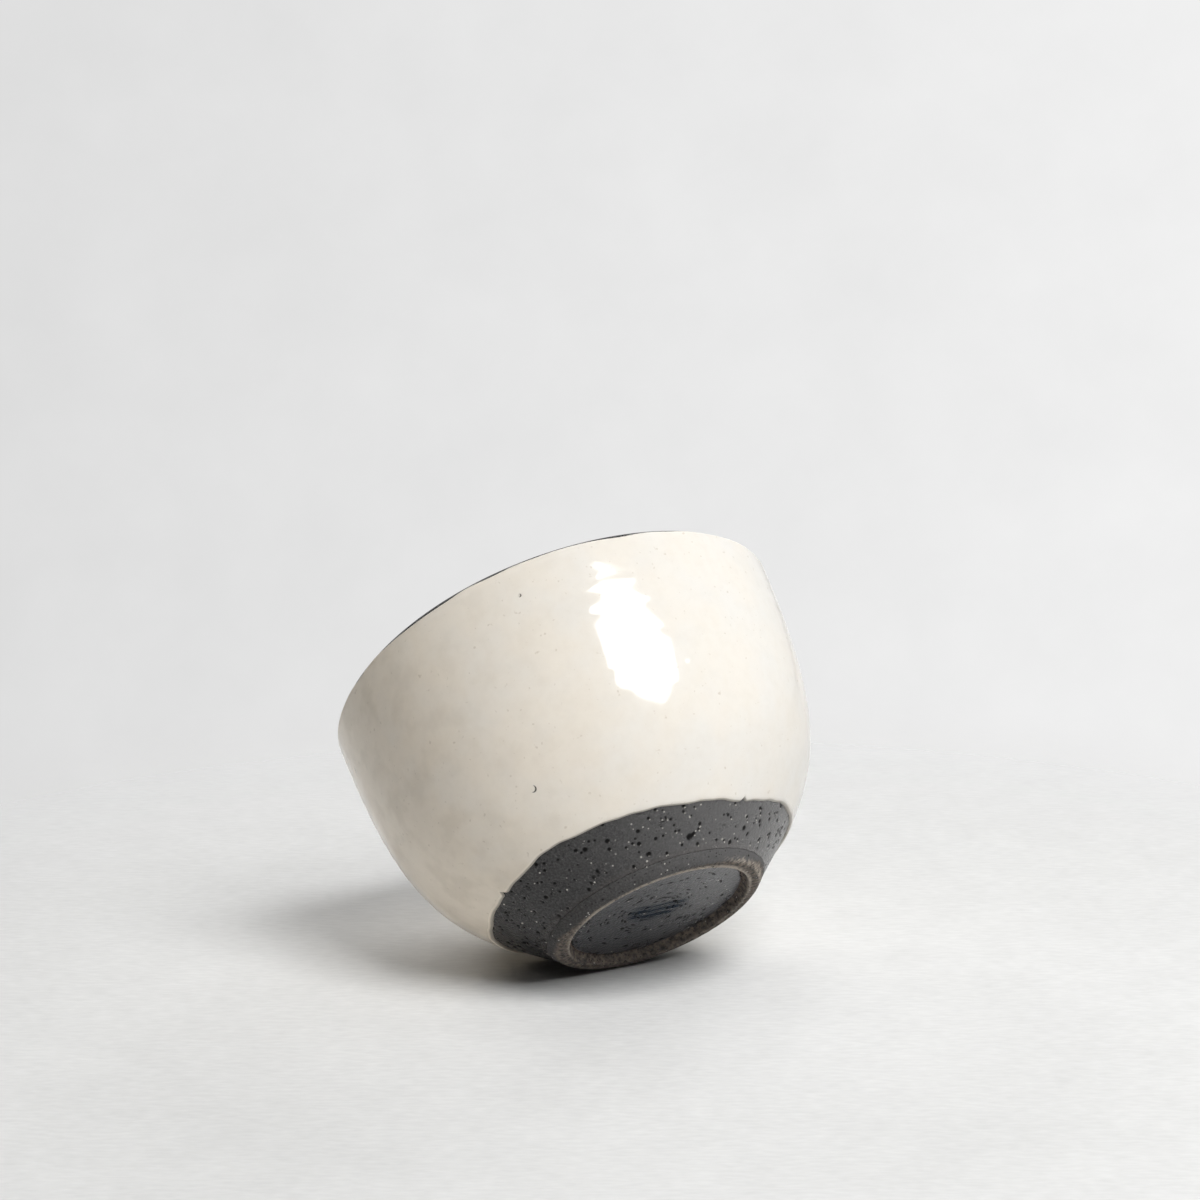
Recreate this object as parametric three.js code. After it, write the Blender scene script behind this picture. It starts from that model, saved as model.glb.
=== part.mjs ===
// Yunomi teacup: a hand-thrown stoneware cup on a turned foot ring, coated with dark slip,
// then dipped upside down in a cream glaze whose edge stops short of the foot.
// Millimetres, +Z up. The origin is the centre of the foot ring's underside and +Z is the cup's axis.

import * as THREE from "three";

// Finished cup
const RIM_RADIUS = 44; // mean, over the outer glaze
const CUP_HEIGHT = 58.2; // to the top of the lip, mean round the rim

// Outside curve: a cone that leaves the foot and bends up into a near upright wall
const CONE_ANGLE = 42.5; // degrees above level, where the wall leaves the foot
const CONE_REACH = 19.5; // how far the cone's direction pulls the curve
const WALL_RISE = 38; // how far the upright direction pulls it down from the lip
const WALL_START = 0.9; // the wall starts this far outside the foot ring

// Clay
const WALL = 2.2; // at the lip
const BASE = 5; // from the seat on the foot ring to the floor inside
const INSIDE_REACH = 31; // how far the level floor pulls the inside curve outwards
const INSIDE_RISE = 37; // how far the upright direction pulls it down from the lip

// Foot ring
const FOOT_RADIUS = 21;
const FOOT_HEIGHT = 2;
const FOOT_ROUND = 1; // rounding of its outer edge
const FOOT_WIDTH = 3.1; // of the ring, from its outer to its inner edge
const WELL_DRAFT = 0.4; // the well narrows by this much towards its floor
const WELL_ROUND = 0.5; // worn rounding of the inner edge

// Coats
const SLIP = 0.3;
const SLIP_EDGE_GAP = 0.3; // between the slip in the well and the ring
const GLAZE = 0.5; // cream glaze on the outside
const GLAZE_ROLL = 0.9; // length of the rolled lower edge, along the wall
const ROLL_SHAPE = [ // shares of that length and of the glaze's thickness
  { run: 0.1, lift: 0.55 },
  { run: 0.4, lift: 0.95 },
  { run: 1, lift: 1 },
];
const LINING = 0.5; // cream glaze on the inside
const LINING_POOL = 1; // where it gathered on the floor
const POOL_REACH = 0.5; // share of the inside curve over which the pool thins out
const LIP_LAP = 30; // degrees of the lip's half round that each glaze still covers

// Dip line: how far the slip stays bare, along the wall from the foot ring
const BARE_BAND = 10;
const DIP_WAVES = [
  { count: 1, swing: 1.3, peak: 54 },
  { count: 2, swing: 0.8, peak: 3 },
  { count: 3, swing: 1.1, peak: -43 },
];

// What the wheel and the kiln left: both grow from nothing at the foot to this at the rim
const OVAL = 1.4; // added to the radius on the long axis, taken off on the short one
const OVAL_AXIS = -24; // degrees
const RIM_WAVE = 0.8; // rise and fall of the lip, two crests to the turn
const RIM_CREST = 67; // degrees
const WAVE_GROWTH = 3; // power of the height that the wave grows with

// Facets
const SEGMENTS = 48;
const BARE_STEPS = 3;
const GLAZED_STEPS = 10;
const LIP_STEPS = 4;
const INSIDE_STEPS = 10;
const ROUND_STEPS = 3;

const FULL_TURN = 2 * Math.PI;
const { degToRad, lerp, clamp } = THREE.MathUtils;
const point = (radius, height) => new THREE.Vector2(radius, height);

// The well is what the ring leaves open
const wellRadius = FOOT_RADIUS - FOOT_WIDTH;

// The lip is a half round over the clay, and the slip follows it
const clayLip = WALL / 2;
const slipLip = clayLip + SLIP;
const bareRim = RIM_RADIUS - GLAZE;
const lipCentre = point(bareRim - slipLip, CUP_HEIGHT - slipLip);

// Outside of the slip, from the foot ring to the lip
const coneDirection = point(Math.cos(degToRad(CONE_ANGLE)), Math.sin(degToRad(CONE_ANGLE)));
const wallFoot = point(FOOT_RADIUS + WALL_START, FOOT_HEIGHT);
const outside = new THREE.CubicBezierCurve(
  wallFoot,
  wallFoot.clone().addScaledVector(coneDirection, CONE_REACH),
  point(bareRim, lipCentre.y - WALL_RISE),
  point(bareRim, lipCentre.y),
);
const wallLength = outside.getLength();

// Inside of the clay, from the middle of the floor to the lip
const floorHeight = FOOT_HEIGHT + BASE;
const insideRim = lipCentre.x - clayLip;
const inside = new THREE.CubicBezierCurve(
  point(0, floorHeight),
  point(INSIDE_REACH, floorHeight),
  point(insideRim, lipCentre.y - INSIDE_RISE),
  point(insideRim, lipCentre.y),
);

// A point at a share of a curve's length, moved off it to the right of its direction
function beside(curve, share, distance) {
  const along = curve.getTangentAt(share);
  return curve.getPointAt(share).add(point(along.y, -along.x).multiplyScalar(distance));
}

// Even values from one to another, both included
const even = (from, to, steps) =>
  Array.from({ length: steps + 1 }, (_, step) => lerp(from, to, step / steps));

// Points of a round at the given angles in degrees
function round(centre, radius, angles) {
  return angles.map(degToRad).map((angle) =>
    point(centre.x + radius * Math.cos(angle), centre.y + radius * Math.sin(angle)));
}

// Share of the outside curve at which the glaze ends
function dipShare(angle) {
  const waves = DIP_WAVES.map(({ count, swing, peak }) =>
    swing * Math.cos(count * (angle - degToRad(peak))));
  return waves.reduce((sum, wave) => sum + wave, BARE_BAND) / wallLength;
}

// Shares of the rows up the outside wall: even below the dip line, and even above it
function wallShares(angle) {
  const dip = dipShare(angle);
  return [...even(0, dip, BARE_STEPS).slice(0, -1), ...even(dip, 1, GLAZED_STEPS)];
}

// Skins that two neighbours share, each listed upwards
const slipSkin = (angle) => wallShares(angle).map((share) => beside(outside, share, 0));
const claySkin = (angle) => wallShares(angle).map((share) => beside(outside, share, -SLIP));
const insideShares = even(0, 1, INSIDE_STEPS);
const insideSkin = insideShares.map((share) => beside(inside, share, 0));
const lipAngles = [0, ...even(LIP_LAP, 180 - LIP_LAP, LIP_STEPS), 180];
const overLip = (radius) => round(lipCentre, radius, lipAngles);

// Where a point of the true round cup lies on this one
function place({ x: radius, y: height }, angle) {
  const up = clamp((height - FOOT_HEIGHT) / (CUP_HEIGHT - FOOT_HEIGHT), 0, 1);
  const oval = OVAL * up * Math.cos(2 * (angle - degToRad(OVAL_AXIS)));
  const wave = RIM_WAVE * up ** WAVE_GROWTH * Math.cos(2 * (angle - degToRad(RIM_CREST)));
  const reach = radius * (1 + oval / RIM_RADIUS);
  return [reach * Math.cos(angle), reach * Math.sin(angle), radius === 0 ? height : height + wave];
}

// A solid from an outline that is carried round the axis and may change on the way. The outline runs
// with its outer side rising, and either closes on itself or starts and ends on the axis. Every quad
// is cut from its lower corner, so that two skins on the same rows have the same faces.
function turned(name, finish, outlineAt) {
  const angles = even(0, FULL_TURN, SEGMENTS).slice(0, -1);
  const outlines = angles.map(outlineAt);
  const count = outlines[0].length;
  const isAxis = outlines[0].map(({ x }) => x === 0);
  const positions = outlines.flatMap((outline, turn) =>
    outline.flatMap((spot) => place(spot, angles[turn])));
  const vertex = (turn, row) => (isAxis[row] ? row : (turn % SEGMENTS) * count + row);
  const faces = [];
  for (let turn = 0; turn < SEGMENTS; turn += 1) {
    for (let row = 0; row < count - (isAxis[0] ? 1 : 0); row += 1) {
      const next = (row + 1) % count;
      const from = outlines[turn][row];
      const to = outlines[turn][next];
      const rising = to.y > from.y || (to.y === from.y && to.x > from.x);
      const a = vertex(turn, row);
      const b = vertex(turn + 1, row);
      const c = vertex(turn + 1, next);
      const d = vertex(turn, next);
      const pair = rising ? [[a, b, c], [a, c, d]] : [[a, b, d], [b, c, d]];
      faces.push(...pair.filter((face) => new Set(face).size === face.length));
    }
  }
  const geometry = new THREE.BufferGeometry();
  geometry.setAttribute("position", new THREE.Float32BufferAttribute(positions, 3));
  geometry.setIndex(faces.flat());
  const solid = geometry.toNonIndexed();
  solid.computeVertexNormals();
  const mesh = new THREE.Mesh(solid, new THREE.MeshStandardMaterial({ metalness: 0, ...finish }));
  mesh.name = name;
  return mesh;
}

// Foot ring: flat bearing face, rounded outer edge, worn inner edge and a drafted well
function footRing() {
  const outerCentre = point(FOOT_RADIUS - FOOT_ROUND, FOOT_ROUND);
  const innerCentre = point(wellRadius + WELL_ROUND, WELL_ROUND);
  const outerEdge = round(outerCentre, FOOT_ROUND, even(-90, 0, ROUND_STEPS));
  const innerEdge = round(innerCentre, WELL_ROUND, even(180, 270, ROUND_STEPS));
  const seat = [point(FOOT_RADIUS, FOOT_HEIGHT), point(wellRadius - WELL_DRAFT, FOOT_HEIGHT)];
  const outline = [...outerEdge, ...seat, ...innerEdge];
  return turned("foot_ring", { color: 0x5a5049, roughness: 0.85 }, () => outline);
}

// Clay body: flat seat, thrown wall, half-round lip and the hollow inside
function clayBody() {
  const seat = [point(0, FOOT_HEIGHT), point(FOOT_RADIUS, FOOT_HEIGHT)];
  const lip = overLip(clayLip).slice(1, -1);
  const hollow = [...insideSkin].reverse();
  return turned("clay_body", { color: 0x6b5c50, roughness: 0.85 }, (angle) => [
    ...seat,
    ...claySkin(angle),
    ...lip,
    ...hollow,
  ]);
}

// Dark slip: one coat up the outside wall and over the lip
function slipCoat() {
  const overSlip = overLip(slipLip).slice(1);
  const overClay = overLip(clayLip).slice(1).reverse();
  return turned("slip_coat", { color: 0x55555a, roughness: 0.55 }, (angle) => [
    ...slipSkin(angle),
    ...overSlip,
    ...overClay,
    ...claySkin(angle).reverse(),
  ]);
}

// Dark slip on the floor of the well, inside the foot ring
function wellSlip() {
  const radius = wellRadius - WELL_DRAFT - SLIP_EDGE_GAP;
  const under = FOOT_HEIGHT - SLIP;
  return turned("well_slip", { color: 0x505156, roughness: 0.5 }, () => [
    point(0, under),
    point(radius - SLIP, under),
    point(radius, FOOT_HEIGHT),
    point(0, FOOT_HEIGHT),
  ]);
}

// Outer glaze: over the slip from the wavy dip line, where it rolled thick, to the edge of the lip
function outerGlaze() {
  const topEdge = overLip(slipLip)[1];
  return turned("outer_glaze", { color: 0xeee8dc, roughness: 0.12 }, (angle) => {
    const dip = dipShare(angle);
    const rolled = ROLL_SHAPE.map(({ run, lift }) =>
      beside(outside, dip + (run * GLAZE_ROLL) / wallLength, lift * GLAZE));
    const glazedShares = wallShares(angle).slice(BARE_STEPS);
    const face = glazedShares.slice(1).map((share) => beside(outside, share, GLAZE));
    const seat = glazedShares.map((share) => beside(outside, share, 0));
    return [seat[0], ...rolled, ...face, topEdge, ...seat.slice(1).reverse()];
  });
}

// Inner glaze: lines the hollow, pools on the floor and laps over the end of the slip at the lip
function innerGlaze() {
  const [topEdge, slipEnd] = overLip(slipLip).slice(-2);
  const thickness = (share) => lerp(LINING_POOL, LINING, Math.min(1, share / POOL_REACH));
  const faceShares = insideShares.slice(1, -1).reverse();
  const face = faceShares.map((share) => beside(inside, share, -thickness(share)));
  const poolTop = point(0, floorHeight + LINING_POOL);
  const faceTop = point(slipEnd.x - LINING, slipEnd.y);
  return turned("inner_glaze", { color: 0xefe9de, roughness: 0.12 }, () => [
    ...insideSkin,
    slipEnd,
    topEdge,
    faceTop,
    ...face,
    poolTop,
  ]);
}

const teacup = new THREE.Group();
teacup.add(clayBody(), footRing(), slipCoat(), wellSlip(), outerGlaze(), innerGlaze());

export default teacup;
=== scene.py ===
# %% [markdown]
# # A hand-thrown teacup
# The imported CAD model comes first, because it fixes where everything is: the cup stands upright on its
# foot, the origin is under the middle of the foot, and +Z is the cup's axis. Blender adds what a
# potter's hands and the kiln leave on such a cup, and never moves the CAD parts.

# %% Load the frame
import bpy
import numpy as np
from mathutils import Matrix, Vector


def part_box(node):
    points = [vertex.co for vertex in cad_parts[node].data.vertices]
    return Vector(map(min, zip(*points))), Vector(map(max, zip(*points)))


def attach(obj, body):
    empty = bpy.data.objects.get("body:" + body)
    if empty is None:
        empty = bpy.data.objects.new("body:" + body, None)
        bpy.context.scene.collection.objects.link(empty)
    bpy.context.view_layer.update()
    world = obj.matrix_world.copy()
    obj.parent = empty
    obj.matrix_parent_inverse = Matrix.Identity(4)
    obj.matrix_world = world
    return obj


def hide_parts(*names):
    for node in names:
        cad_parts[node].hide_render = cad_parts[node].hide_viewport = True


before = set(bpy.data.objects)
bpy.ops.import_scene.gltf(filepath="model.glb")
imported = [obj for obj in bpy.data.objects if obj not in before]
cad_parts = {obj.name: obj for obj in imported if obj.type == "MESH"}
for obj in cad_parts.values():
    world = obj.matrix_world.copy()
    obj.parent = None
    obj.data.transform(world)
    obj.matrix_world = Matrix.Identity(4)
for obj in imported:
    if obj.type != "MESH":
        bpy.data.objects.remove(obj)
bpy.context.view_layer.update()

# %% [markdown]
# ## The thrown shape
# A wheel makes a round wall from one profile. The profile here is a cubic Bezier curve: a cone leaves the
# foot and bends up into a nearly upright wall. Every coat on the outside is laid off this one curve, so
# they all fit together. Sizes are in millimetres, as a potter would measure them.

# %% Sizes of the cup
MM = 0.001
FOOT_RADIUS, _, FOOT_HEIGHT = np.array(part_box("foot_ring")[1]) / MM
WELL_SLIP_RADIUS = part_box("well_slip")[1][0] / MM
RIM_RADIUS = 44.0  # mean, over the glaze
CUP_HEIGHT = 58.2  # mean, to the top of the lip
CONE_ANGLE = 42.5  # degrees above level, where the wall leaves the foot
CONE_REACH = 19.5  # how far the cone's direction pulls the curve
WALL_RISE = 38.0  # how far the upright direction pulls it down from the lip
WALL_START = 0.9  # the wall starts this far outside the foot ring
WALL = 2.2  # clay at the lip
BASE = 5.0  # clay from the foot ring's seat to the floor inside
INSIDE_REACH = 31.0  # how far the level floor pulls the inside curve outwards
INSIDE_RISE = 37.0  # how far the upright direction pulls it down from the lip
SLIP = 0.3  # thickness of the dark slip
SOLID_GLAZE = 0.5  # glaze on the CAD solid
GLAZE = 0.45  # a little less, so that the rim stays inside the solid's box
CLAY_LIP = WALL / 2  # radius of the lip's half round, in clay
SLIP_LIP = CLAY_LIP + SLIP
BARE_RIM = RIM_RADIUS - SOLID_GLAZE
LIP_CENTRE = np.array([BARE_RIM - SLIP_LIP, CUP_HEIGHT - SLIP_LIP])
print(f"foot radius {FOOT_RADIUS:.2f}, foot height {FOOT_HEIGHT:.2f}, lip centre {LIP_CENTRE}")

# %% [markdown]
# The rows of a surface should lie evenly along the wall, but a Bezier curve is walked faster in some
# places than in others. So its length is measured first, and a share of that length is looked up.

# %% A curve that is walked by its length
CHORDS = 800


def bezier(corners):
    """A cubic Bezier curve: the four corners weighed by (1-t)^3, 3t(1-t)^2, 3t^2(1-t) and t^3. Its length
    is the sum of short chords, and a share of the length is turned into t by looking it up there. Gives a
    function from shares to points and unit directions, and the length."""
    a, b, c, d = (np.array(corner, float) for corner in corners)

    def weigh(*terms):
        return sum(weight[..., None] * corner for weight, corner in terms)

    def point(t):
        u = 1 - t
        return weigh((u**3, a), (3 * t * u**2, b), (3 * t**2 * u, c), (t**3, d))

    def direction(t):
        u = 1 - t
        way = weigh((u**2, b - a), (2 * t * u, c - b), (t**2, d - c))
        return way / np.linalg.norm(way, axis=-1, keepdims=True)

    stations = np.linspace(0, 1, CHORDS + 1)
    chords = np.linalg.norm(np.diff(point(stations), axis=0), axis=1)
    walked = np.concatenate([[0], np.cumsum(chords)])

    def at(share):
        t = np.interp(share, walked / walked[-1], stations)
        return point(t), direction(t)

    return at, walked[-1]


cone = np.radians(CONE_ANGLE)
wall_foot = np.array([FOOT_RADIUS + WALL_START, FOOT_HEIGHT])
outside, WALL_LENGTH = bezier([
    wall_foot,
    wall_foot + CONE_REACH * np.array([np.cos(cone), np.sin(cone)]),
    (BARE_RIM, LIP_CENTRE[1] - WALL_RISE),
    (BARE_RIM, LIP_CENTRE[1]),
])
FLOOR_HEIGHT = FOOT_HEIGHT + BASE
INSIDE_RIM = LIP_CENTRE[0] - CLAY_LIP
inside, INSIDE_LENGTH = bezier([
    (0, FLOOR_HEIGHT),
    (INSIDE_REACH, FLOOR_HEIGHT),
    (INSIDE_RIM, LIP_CENTRE[1] - INSIDE_RISE),
    (INSIDE_RIM, LIP_CENTRE[1]),
])
print(f"wall {WALL_LENGTH:.2f} mm long outside, {INSIDE_LENGTH:.2f} mm inside")

# %% [markdown]
# A coat lies beside the curve at its own thickness, and goes round the lip on a half circle. These are the
# few ways in which every coat finds its points. A point is a pair: its radius and its height.

# %% Points beside the curve and over the lip
def steps(count):
    """A column of even steps up to 1. The first is one step above 0."""
    return np.linspace(0, 1, count + 1)[1:, None]


def turns(count):
    """Angles of the columns of a turned surface, evenly round the axis."""
    return np.arange(count) * 2 * np.pi / count


def beside(curve, share, distance):
    """Points of a curve at shares of its length, moved off it to the right of its direction."""
    point, way = curve(share)
    right = np.stack([way[..., 1], -way[..., 0]], -1)
    return point + right * np.asarray(distance)[..., None]


def over_lip(reach, turn):
    """Points of a circle about the lip's centre. The angle is 0 on the outside and pi on the inside."""
    return LIP_CENTRE + np.asarray(reach)[..., None] * np.stack([np.cos(turn), np.sin(turn)], -1)


def level_row(radius, height, columns):
    """One row of the same point all round."""
    return np.full((1, columns, 2), (radius, height))


print("lip top at", over_lip(SLIP_LIP, np.pi / 2).round(2), "mm")

# %% [markdown]
# A thrown cup is never quite round. Lifting it off the wheel squeezes the rim into a slight oval, and the
# lip dries a little wavy. Both fade to nothing at the foot, which is turned true on the wheel later.

# %% From a true profile to this cup
OVAL = 1.4  # added to the radius on the long axis at the rim
OVAL_AXIS = np.radians(-24)
RIM_WAVE = 0.8  # rise and fall of the lip, two crests to the turn
RIM_CREST = np.radians(67)
WAVE_GROWTH = 3  # power of the height that the wave grows with


def place(profile, angle):
    """Where (radius, height) pairs lie on this cup: the radius is stretched by a cosine of twice the angle
    and the height lifted by another, both growing with the height above the foot. Metres."""
    radius, height = profile[..., 0], profile[..., 1]
    up = np.clip((height - FOOT_HEIGHT) / (CUP_HEIGHT - FOOT_HEIGHT), 0, 1)
    reach = radius * (1 + OVAL * up * np.cos(2 * (angle - OVAL_AXIS)) / RIM_RADIUS)
    lift = RIM_WAVE * up**WAVE_GROWTH * np.cos(2 * (angle - RIM_CREST)) * np.minimum(radius, 1)
    return MM * np.stack([reach * np.cos(angle), reach * np.sin(angle), height + lift], -1)


rim_heights = place(over_lip(SLIP_LIP, np.pi / 2 + 0 * turns(360)), turns(360))[:, 2] / MM
print(f"rim from {rim_heights.min():.2f} to {rim_heights.max():.2f} mm high")

# %% [markdown]
# Each piece of the cup is one grid of points, closed all the way round. Blender's Spin or Screw could turn
# a profile too, but a grid lets every point move by itself, and it can carry marks: values such as how
# worn a point is, which the material reads later as attributes.

# %% A grid becomes a piece
def turned_piece(name, node, slot, points, poles=False, **marks):
    """A closed mesh from a grid of points: each column joins the next all the way round. The rows close
    on themselves, or with poles the first and last row are single points on the axis. Marks are values
    that the material can read, for the points of the first rows. All other points have 0."""
    rows, columns = points.shape[:2]
    index = np.arange(rows * columns).reshape(rows, columns)
    keep = np.ones(rows * columns, bool)
    triangles = np.zeros((0, 3), int)
    if poles:
        keep[index[0, 1:]] = keep[index[-1, 1:]] = False
        index = (np.cumsum(keep) - 1).reshape(rows, columns)
        index[0], index[-1] = 0, keep.sum() - 1
        ring, last = index[1], index[-2]
        bottom = np.stack([index[0], np.roll(ring, -1), ring], -1)
        top = np.stack([last, np.roll(last, -1), index[-1]], -1)
        triangles = np.concatenate([bottom, top])
        lower, upper = index[1:-2], index[2:-1]
    else:
        lower, upper = index, np.roll(index, -1, 0)
    quads = np.stack([lower, np.roll(lower, -1, 1), np.roll(upper, -1, 1), upper], -1).reshape(-1, 4)
    mesh = bpy.data.meshes.new(name)
    mesh.from_pydata(points.reshape(-1, 3)[keep], [], triangles.tolist() + quads.tolist())
    for mark, values in marks.items():
        spread = np.zeros((rows, columns), np.float32)
        spread[:len(values)] = values
        mesh.attributes.new(mark, "FLOAT", "POINT").data.foreach_set("value", spread.reshape(-1)[keep])
    mesh.shade_smooth()
    piece = bpy.data.objects.new(name, mesh)
    bpy.context.scene.collection.objects.link(piece)
    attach(piece, "root")
    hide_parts(node)
    print(f"{name}: {len(triangles) + 2 * len(quads)} triangles")
    return piece

# %% [markdown]
# ## Marks of the hand
# Three small tools make everything irregular on this cup: waves round the turn, pits and grains as soft
# round hollows or bumps at chosen places, and a seeded generator, so that each run gives the same cup.

# %% Waves and spots
rng = np.random.default_rng(7)


def waves(angle, *terms):
    """Sum of cosines round the turn. A term is how many crests, the swing, and the angle of one crest."""
    return sum(swing * np.cos(count * (angle - np.radians(crest))) for count, swing, crest in terms)


def spots(along, angle, radius, places, stretch=1.0):
    """Round bumps at the given (length, angle, size, strength) places on a surface of about one radius.
    Each falls off from its strength as exp(-distance^2), with distances in sizes. Distances round the turn
    take the shorter way and are divided by the stretch, so that a bump can be drawn out."""
    total = np.zeros(np.broadcast(along, angle).shape)
    for length, turn, size, strength in places:
        across = radius * ((angle - turn + np.pi) % (2 * np.pi) - np.pi) / stretch
        square = ((along - length) ** 2 + across**2) / size**2
        total = np.maximum(total, strength * np.exp(-square))
    return total


def scatter(count, along, sizes, strengths):
    """Seeded places for spots, anywhere along and round the turn. Sizes go with the cube of a random
    number, so many are small and few are large."""
    size = sizes[0] + (sizes[1] - sizes[0]) * rng.random(count) ** 3
    turn = rng.uniform(0, 2 * np.pi, count)
    return np.stack([rng.uniform(*along, count), turn, size, rng.uniform(*strengths, count)], -1)


def chosen(places):
    """Places for spots from (angle in degrees, length up the wall, size, strength) rows."""
    turn, length, size, strength = np.array(places).T
    return np.stack([length, np.radians(turn), size, strength], -1)


print("one spot, seen 0, 1 and 2 sizes away:", spots(np.arange(3.0), 0, 1, [(0, 0, 1, 1)]).round(3))

# %% [markdown]
# ## The glaze line
# The cup was held by its foot and dipped upside down in glaze, so the glaze stops on a wavy line above the
# foot. Two small spurs of dark slip stick up into it where a fingertip touched the wet edge.

# %% Where the glaze stops
BARE_BAND = 10.0  # mean length of the bare band, along the wall from the foot ring
LINE_RADIUS = 1.4 * FOOT_RADIUS  # about, of the wall at the line
SPURS = [(36.0, 0.9), (140.5, 0.7)]  # angle in degrees, height
SPUR_WIDTH = 0.45


def dip_line(angle):
    """Length along the wall at which the glaze stops: slow waves, a fine wander, and two narrow spurs."""
    line = BARE_BAND + waves(angle, (1, 1.3, 54), (2, 0.8, 3), (3, 1.1, -43))
    line = line + waves(angle, (7, 0.14, 12), (11, 0.12, 95), (17, 0.1, 63), (29, 0.05, 20), (41, 0.04, 77))
    for where, height in SPURS:
        across = (angle - np.radians(where)) * LINE_RADIUS
        line = line + height * np.exp(-((across / SPUR_WIDTH) ** 2))
    return line


line = dip_line(turns(360))
print(f"glaze line from {line.min():.2f} to {line.max():.2f} mm up the wall")

# %% [markdown]
# ## The cream glaze
# The glaze is half a millimetre of glass, and its lower edge is rolled round where it flowed together. A
# flat edge with a bevel would look cut, so the edge is a quarter round that swells into a low bead. Each
# column of the grid climbs the wall from the glaze line, and each row goes once round the cup.

# %% Cream glaze: the rolled edge
GLAZE_COLUMNS = 640
ROLL_ROWS, CLIMB_ROWS = 12, 118
ROLL = 1.0  # length of the rolled edge
BEAD = 0.10  # extra thickness where the glaze gathered above the edge
BEAD_WIDTH = 1.6

angle = turns(GLAZE_COLUMNS)
dip = dip_line(angle)
# A column plus 0 * angle is that column, repeated all round
roll_turn = np.linspace(0, np.pi / 2, ROLL_ROWS)[:, None] + 0 * angle
climb = steps(CLIMB_ROWS) + 0 * angle
run = np.concatenate([ROLL * (1 - np.cos(roll_turn)), ROLL + climb * (WALL_LENGTH - dip - ROLL)])
along = dip + run
share = along / WALL_LENGTH
swell = np.concatenate([np.sin(roll_turn), np.ones_like(climb)])
lift = swell * (GLAZE + BEAD * np.exp(-(((run - ROLL) / BEAD_WIDTH) ** 2)))
print(f"glaze up to {lift.max():.2f} mm thick, on {len(lift)} rows of {GLAZE_COLUMNS} points")

# %% [markdown]
# Fingers that pull the clay up on the wheel leave a spiral of soft ridges and wide hollows, and the glaze
# follows them. They could be a bump texture, but the long highlight runs right over them and gets its
# stepped edges from them, so they are real shape.

# %% Cream glaze: throwing ridges
RIDGE = 0.022  # half the height of the throwing ridges
RIDGE_PITCH = 4.2  # from one ridge to the next
SLOW_DRIFT, QUICK_DRIFT = 13.0, 5.3  # lengths over which the pitch drifts
HOLLOW = 0.05  # depth of the wide hollows
HOLLOW_START = 6.0  # length above the edge over which they set in

walk = 2 * np.pi * along
ridge_turn = walk / RIDGE_PITCH + angle + waves(angle, (2, 0.5, 40), (3, 0.4, 10), (5, 0.3, 70))
ridge_turn = ridge_turn + 0.9 * np.sin(walk / SLOW_DRIFT) + 0.5 * np.sin(walk / QUICK_DRIFT + 3 * angle)
grip = np.clip((share - 0.3) / 0.25, 0, 1) * np.clip((1.05 - share) / 0.3, 0, 1)
grip = grip * (0.7 + waves(angle, (3, 0.2, 100), (7, 0.15, 50)))
ridges = RIDGE * grip * (np.cos(ridge_turn) - 1)
hollows = HOLLOW * (waves(angle, (4, 0.5, 30), (6, 0.4, 71)) * np.sin(np.pi * share) - 1) * share
lift = lift + ridges + hollows * np.clip(run / HOLLOW_START, 0, 1)
print(f"ridges up to {-ridges.min():.3f} mm, hollows up to {-hollows.min():.3f} mm deep")

# %% [markdown]
# Gas that left the glaze late made pinholes, grains under it made bumps, and wet fingers left shallow
# dents. The few that stand out are placed one by one, and seeded ones fill the rest of the wall.

# %% Cream glaze: pinholes, bumps and dents
# Rows are the angle in degrees, the length up the wall, the size and the strength
PITS = [(88.8, 56.5, 0.45, 0.9), (9.0, 56.8, 0.55, 0.9), (13.7, 52.5, 0.5, 0.8), (23.0, 49.2, 0.45, 0.5)]
BUMPS = [(128.1, 39.4, 0.6, 2.2), (123.0, 35.2, 0.55, 1.5), (70.4, 23.6, 0.9, 0.8), (67.4, 53.4, 0.9, 0.5)]
DENTS = [(12, 50, 2.4, 3.0), (19, 44, 2.8, 3.0), (7, 41, 2.2, 2.5), (27, 54, 3.2, 2.0)]
PIT_DEPTH, BUMP_HEIGHT, DENT_DEPTH = 0.16, 0.08, 0.02

pit_places = [*chosen(PITS), *scatter(50, (14, 60), (0.35, 0.5), (0.05, 0.5))]
bump_places = [*chosen(BUMPS), *scatter(30, (14, 60), (0.4, 0.8), (0.1, 0.4))]
dent_places = [*chosen(DENTS), *scatter(40, (16, 60), (1.2, 2.6), (0.2, 0.8))]
pinholes = spots(along, angle, RIM_RADIUS, pit_places)
bumps = spots(along, angle, RIM_RADIUS, bump_places)
dents = spots(along, angle, RIM_RADIUS, dent_places)
lift = lift - PIT_DEPTH * pinholes + BUMP_HEIGHT * bumps - DENT_DEPTH * dents
print(f"{len(pit_places)} pinholes, {len(bump_places)} bumps and {len(dent_places)} dents")

# %% [markdown]
# At the rim the glaze thins out over the lip in an uneven line and leaves the dark slip bare on top. The
# grid then comes back down along the slip, which closes the coat. Its marks say where the glaze is thin,
# where a pinhole is, and on which side a warmer, darker tint is painted as shade.

# %% Cream glaze: lip, seat and mesh
LIP_ROWS, SEAT_ROWS = 12, 7
LIP_LAP = 19.0  # degrees up the lip's half round that the glaze reaches
LIP_TAPER = 2.5  # power of the way over the lip with which the glaze thins out
SEAT_START = 0.05  # the seat begins this far above the glaze line
EDGE_WIDTH = 0.7  # length of edge that the slip shows through
PAINTED_SHADE_SIDE = 5  # degrees, the middle of the side with painted shade


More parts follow.
